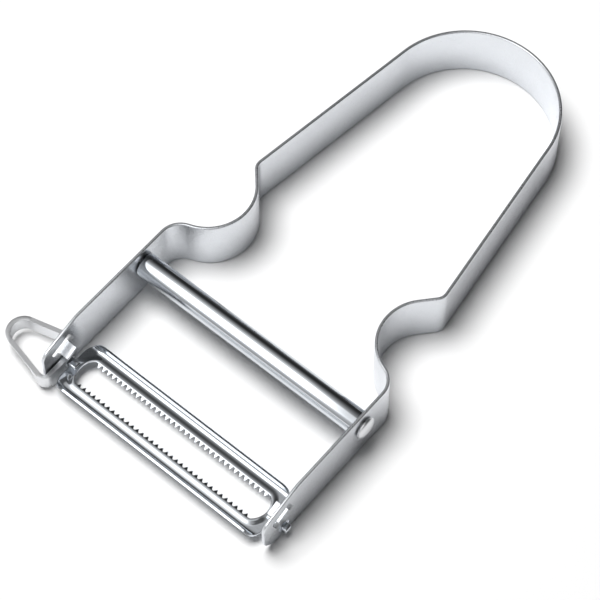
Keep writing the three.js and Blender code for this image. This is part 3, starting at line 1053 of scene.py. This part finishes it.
def studio_world(scene):
    """A long card overhead and a weaker one beside it, in a room that is dark behind."""
    world = bpy.data.worlds.new("studio")
    scene.world = world
    world.use_nodes = True
    nodes, links = world.node_tree.nodes, world.node_tree.links
    parts = nodes.new("ShaderNodeSeparateXYZ")
    links.new(nodes.new("ShaderNodeTexCoord").outputs["Generated"], parts.inputs["Vector"])
    lean = combine(nodes, links, "ARCTAN2", parts.outputs["Y"], parts.outputs["Z"])
    degrees = combine(nodes, links, "MULTIPLY", lean, math.degrees(1))
    along = level_ramp(nodes, links, degrees, CARD_LEAN, -180, 180)
    aside = level_ramp(nodes, links, parts.outputs["X"], CARD_ASIDE, -1, 1)
    card = combine(nodes, links, "MULTIPLY", along, aside)
    card = combine(nodes, links, "MULTIPLY", card, CARD_STRENGTH)
    room = level_ramp(nodes, links, degrees, ROOM_LEAN, -180, 180)
    light = nodes["Background"]
    front = level_ramp(nodes, links, degrees, SIDE_LEAN, -180, 180)
    right = level_ramp(nodes, links, parts.outputs["X"], SIDE_ASIDE, -1, 1)
    side = combine(nodes, links, "MULTIPLY", front, right)
    side = combine(nodes, links, "MULTIPLY", side, SIDE_STRENGTH)
    studio = combine(nodes, links, "ADD", card, combine(nodes, links, "ADD", room, side))
    rays = nodes.new("ShaderNodeLightPath")
    dimmed = combine(nodes, links, "MULTIPLY", studio, DIM_SHARE)
    shown = combine(nodes, links, "MULTIPLY", studio, rays.outputs["Is Glossy Ray"])
    links.new(combine(nodes, links, "MAXIMUM", shown, dimmed), light.inputs["Strength"])
    light.inputs["Color"].default_value = (1, 1, 1, 1)
    white = nodes.new("ShaderNodeBackground")
    white.inputs["Color"].default_value = (1, 1, 1, 1)
    white.inputs["Strength"].default_value = 1
    mix = nodes.new("ShaderNodeMixShader")
    links.new(rays.outputs["Is Camera Ray"], mix.inputs["Fac"])
    links.new(light.outputs["Background"], mix.inputs[1])
    links.new(white.outputs["Background"], mix.inputs[2])
    links.new(mix.outputs["Shader"], nodes["World Output"].inputs["Surface"])


def key_light(scene):
    """A round softbox high over the peeler, a little to the left and to the front."""
    data = bpy.data.lights.new("key_light", "AREA")
    data.shape = "DISK"
    data.size = KEY_SIZE
    data.energy = KEY_ENERGY
    lamp = bpy.data.objects.new("key_light", data)
    middle = (CAD_BOX[0] + CAD_BOX[1]) / 2
    lamp.location = middle + KEY_FROM * KEY_DISTANCE
    lamp.rotation_euler = KEY_FROM.to_track_quat("Z", "Y").to_euler()
    # Metal shows the cards in its place.
    lamp.visible_glossy = False
    scene.collection.objects.link(lamp)


def photo_camera(scene):
    """The camera at the photograph's angle."""
    level = Vector((0, 0, 1)).cross(CAMERA_BACK).normalized()
    upward = CAMERA_BACK.cross(level)
    right = level * math.cos(CAMERA_ROLL) + upward * math.sin(CAMERA_ROLL)
    up = CAMERA_BACK.cross(right)
    data = bpy.data.cameras.new("photo_camera")
    data.sensor_width = 36
    data.lens = CAMERA_LENS
    data.clip_start, data.clip_end = 0.01, 20
    camera = bpy.data.objects.new("photo_camera", data)
    turned = Matrix((right, up, CAMERA_BACK)).transposed().to_4x4()
    place = (CAMERA_TARGET + CAMERA_BACK * CAMERA_DISTANCE) / MM
    camera.matrix_world = Matrix.Translation(place) @ turned
    scene.collection.objects.link(camera)
    scene.camera = camera


class PEELER_OT_stage(bpy.types.Operator):
    """Lay the pale floor and set the studio light and the camera"""

    bl_idname = "peeler.stage"
    bl_label = "Stage"

    def execute(self, context):
        scene = context.scene
        clear_selection()
        bpy.ops.mesh.primitive_plane_add(size=6, location=(0, 0, -0.0001))
        floor = begin("floor")
        bpy.ops.object.mode_set(mode="OBJECT")
        bpy.ops.object.transform_apply(location=True, rotation=True, scale=True)
        paper = bpy.data.materials.new("pale_floor")
        paper.use_nodes = True
        shader = paper.node_tree.nodes["Principled BSDF"]
        shader.inputs["Base Color"].default_value = (*scene.peeler.finish.floor, 1)
        shader.inputs["Roughness"].default_value = 1
        shader.inputs["Specular IOR Level"].default_value = 0
        floor.data.materials.append(paper)
        studio_world(scene)
        key_light(scene)
        photo_camera(scene)
        scene.view_settings.view_transform = "Standard"
        return {"FINISHED"}


class PEELER_PT_pieces(bpy.types.Panel):
    """The peeler's pieces, each with its button"""

    bl_idname = "PEELER_PT_pieces"
    bl_label = "Peeler"
    bl_space_type = "VIEW_3D"
    bl_region_type = "UI"
    bl_category = "Peeler"

    def draw(self, context):
        for operator in OPERATORS:
            self.layout.operator(operator.bl_idname)


OPERATORS = (
    PEELER_OT_handle,
    PEELER_OT_crossbar,
    PEELER_OT_rivets,
    PEELER_OT_eye_remover,
    PEELER_OT_blade,
    PEELER_OT_stage,
)
GROUPS = (PeelerHandle, PeelerBar, PeelerBlade, PeelerEye, PeelerFinish, PeelerSettings)


def register():
    for kind in (*GROUPS, *OPERATORS, PEELER_PT_pieces):
        bpy.utils.register_class(kind)
    bpy.types.Scene.peeler = PointerProperty(type=PeelerSettings)


def unregister():
    del bpy.types.Scene.peeler
    for kind in reversed((*GROUPS, *OPERATORS, PEELER_PT_pieces)):
        bpy.utils.unregister_class(kind)


def main():
    register()
    bpy.ops.peeler.handle()
    bpy.ops.peeler.crossbar()
    bpy.ops.peeler.rivets()
    bpy.ops.peeler.eye_remover()
    bpy.ops.peeler.blade()
    bpy.ops.peeler.stage()


if __name__ == "__main__":
    main()
